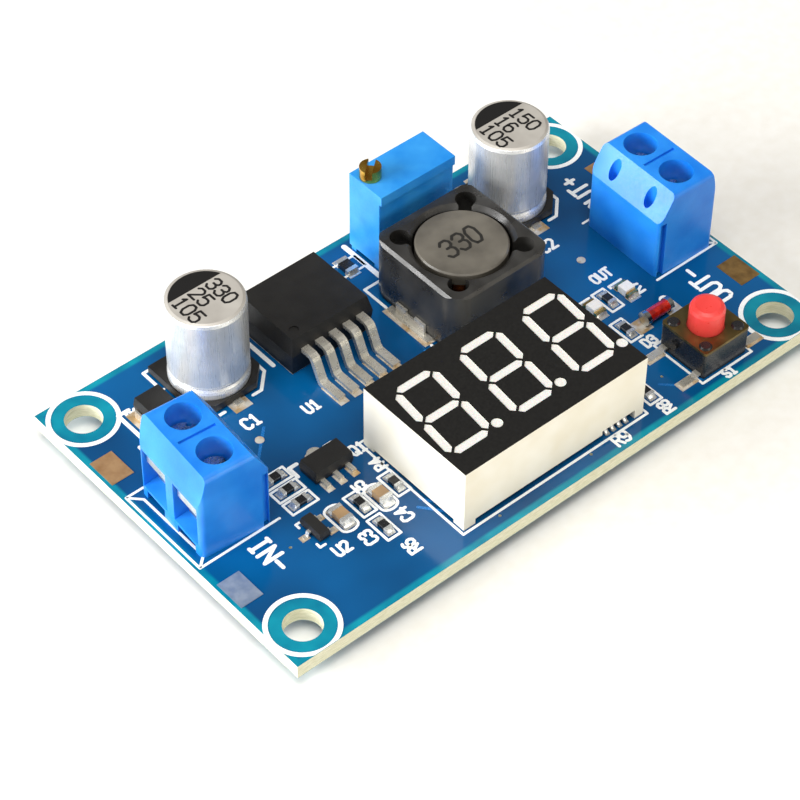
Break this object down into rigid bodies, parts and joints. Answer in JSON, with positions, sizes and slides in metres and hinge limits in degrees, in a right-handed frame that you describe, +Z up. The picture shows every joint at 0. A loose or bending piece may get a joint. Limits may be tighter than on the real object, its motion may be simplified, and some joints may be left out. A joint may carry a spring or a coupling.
{
  "type": "buck converter module",
  "caption": "Step-down converter circuit module with screw terminals, a digit display, trimmer, shielded inductor and push button on a blue board.",
  "frame": {"origin": "middle of the mounting-hole pattern, on the board's underside", "axes": "+X from the input edge to the output edge, +Y from the display edge to the capacitor edge, +Z up out of the component side"},
  "size_m": [0.066, 0.039, 0.0142],
  "materials": {
    "solder_mask_board": "gloss",
    "tinned_copper": "satin",
    "solder": "gloss",
    "blue_nylon": "satin",
    "tinned_brass": "satin",
    "stainless_leaf": "satin",
    "zinc_plated_screw": "satin",
    "cream_case": "matte",
    "grey_epoxy": "matte",
    "green_laminate": "gloss",
    "potting": "matte",
    "tinned_lead": "satin",
    "light_blue_case": "satin",
    "white_nylon": "matte",
    "ceramic": "matte",
    "brass_screw": "satin",
    "ferrite": "matte",
    "copper_wire": "satin",
    "black_base": "matte",
    "capacitor_can": "satin",
    "black_rubber": "matte",
    "black_moulding": "matte",
    "brown_plate": "satin",
    "red_button": "satin",
    "red_glass": "gloss",
    "chip_resistor": "gloss",
    "tan_ceramic": "matte",
    "led_lens": "gloss",
    "gold_plate": "satin"
  },
  "bodies": {
    "module": {"circuit_board": "solder_mask_board", "copper_pads": "tinned_copper", "solder_joints": "solder", "in_terminal_housing": "blue_nylon", "out_terminal_housing": "blue_nylon", "in_clamp_frames": "tinned_brass", "out_clamp_frames": "tinned_brass", "display_case": "cream_case", "display_segments": "grey_epoxy", "display_led_board": "green_laminate", "display_potting": "potting", "display_pins": "tinned_lead", "trimmer_case": "light_blue_case", "trimmer_base": "white_nylon", "trimmer_element": "ceramic", "trimmer_pins": "tinned_lead", "inductor_shield": "ferrite", "inductor_core": "ferrite", "inductor_winding": "copper_wire", "inductor_base": "black_base", "inductor_terminals": "tinned_lead", "in_capacitor_can": "capacitor_can", "out_capacitor_can": "capacitor_can", "capacitor_bases": "black_base", "capacitor_seals": "black_rubber", "capacitor_leads": "tinned_lead", "regulator_body": "black_moulding", "regulator_tab": "tinned_copper", "regulator_leads": "tinned_lead", "switch_base": "black_moulding", "switch_cover": "brown_plate", "switch_dome": "stainless_leaf", "switch_leads": "tinned_lead", "input_diode_body": "black_moulding", "input_diode_terminals": "tinned_lead", "glass_diode_body": "red_glass", "glass_diode_caps": "tinned_lead", "transistor_body": "black_moulding", "transistor_leads": "tinned_lead", "supply_chip_body": "black_moulding", "supply_chip_leads": "tinned_lead", "controller_body": "black_moulding", "controller_leads": "tinned_lead", "resistor_bodies": "chip_resistor", "resistor_ends": "solder", "ceramic_capacitor_bodies": "tan_ceramic", "ceramic_capacitor_ends": "solder", "led_bodies": "led_lens", "led_ends": "gold_plate"},
    "in_plus_guard": {"in_plus_guard": "stainless_leaf"},
    "in_plus_screw": {"in_plus_screw": "zinc_plated_screw"},
    "in_minus_guard": {"in_minus_guard": "stainless_leaf"},
    "in_minus_screw": {"in_minus_screw": "zinc_plated_screw"},
    "out_plus_guard": {"out_plus_guard": "stainless_leaf"},
    "out_plus_screw": {"out_plus_screw": "zinc_plated_screw"},
    "out_minus_guard": {"out_minus_guard": "stainless_leaf"},
    "out_minus_screw": {"out_minus_screw": "zinc_plated_screw"},
    "trimmer_screw": {"trimmer_screw": "brass_screw"},
    "trimmer_gear": {"trimmer_gear": "white_nylon"},
    "switch_button": {"switch_button": "red_button"}
  },
  "joints": [
    {"name": "in_plus_guard_slide", "type": "slide", "parent": "module", "child": "in_plus_guard", "axis": [0, 0, -1], "range_m": [-0.00015, 0.0011]},
    {"name": "in_plus_screw_turn", "type": "hinge", "parent": "in_plus_guard", "child": "in_plus_screw", "pos_m": [-0.02775, 0.00271, 0.00925], "axis": [0, 0, -1], "range_deg": [-120, 880]},
    {"name": "in_minus_guard_slide", "type": "slide", "parent": "module", "child": "in_minus_guard", "axis": [0, 0, -1], "range_m": [-0.00015, 0.0011]},
    {"name": "in_minus_screw_turn", "type": "hinge", "parent": "in_minus_guard", "child": "in_minus_screw", "pos_m": [-0.02815, -0.00235, 0.00925], "axis": [0, 0, -1], "range_deg": [-120, 880]},
    {"name": "out_plus_guard_slide", "type": "slide", "parent": "module", "child": "out_plus_guard", "axis": [0, 0, -1], "range_m": [-0.00015, 0.0011]},
    {"name": "out_plus_screw_turn", "type": "hinge", "parent": "out_plus_guard", "child": "out_plus_screw", "pos_m": [0.02872, 0.00248, 0.00925], "axis": [0, 0, -1], "range_deg": [-120, 880]},
    {"name": "out_minus_guard_slide", "type": "slide", "parent": "module", "child": "out_minus_guard", "axis": [0, 0, -1], "range_m": [-0.00015, 0.0011]},
    {"name": "out_minus_screw_turn", "type": "hinge", "parent": "out_minus_guard", "child": "out_minus_screw", "pos_m": [0.02858, -0.0026, 0.00925], "axis": [0, 0, -1], "range_deg": [-120, 880]},
    {"name": "trimmer_screw_turn", "type": "hinge", "parent": "module", "child": "trimmer_screw", "pos_m": [0.0057, 0.0163, 0.0114], "axis": [0, 0, 1], "range_deg": [-4500, 4500]},
    {"name": "trimmer_gear_turn", "type": "hinge", "parent": "module", "child": "trimmer_gear", "pos_m": [0.0098, 0.0159, 0.0066], "axis": [0, 1, 0], "range_deg": [-141, 141]},
    {"name": "button_press", "type": "slide", "parent": "module", "child": "switch_button", "axis": [0, 0, -1], "range_m": [0, 0.00025], "stiffness_N_per_m": 3000, "deforming": ["switch_dome"]}
  ],
  "couplings": [
    {"joint": "in_plus_screw_turn", "follows": "in_plus_guard_slide", "rad_per_m": 13963},
    {"joint": "in_minus_screw_turn", "follows": "in_minus_guard_slide", "rad_per_m": 13963},
    {"joint": "out_plus_screw_turn", "follows": "out_plus_guard_slide", "rad_per_m": 13963},
    {"joint": "out_minus_screw_turn", "follows": "out_minus_guard_slide", "rad_per_m": 13963},
    {"joint": "trimmer_gear_turn", "follows": "trimmer_screw_turn", "ratio": 0.03125}
  ]
}
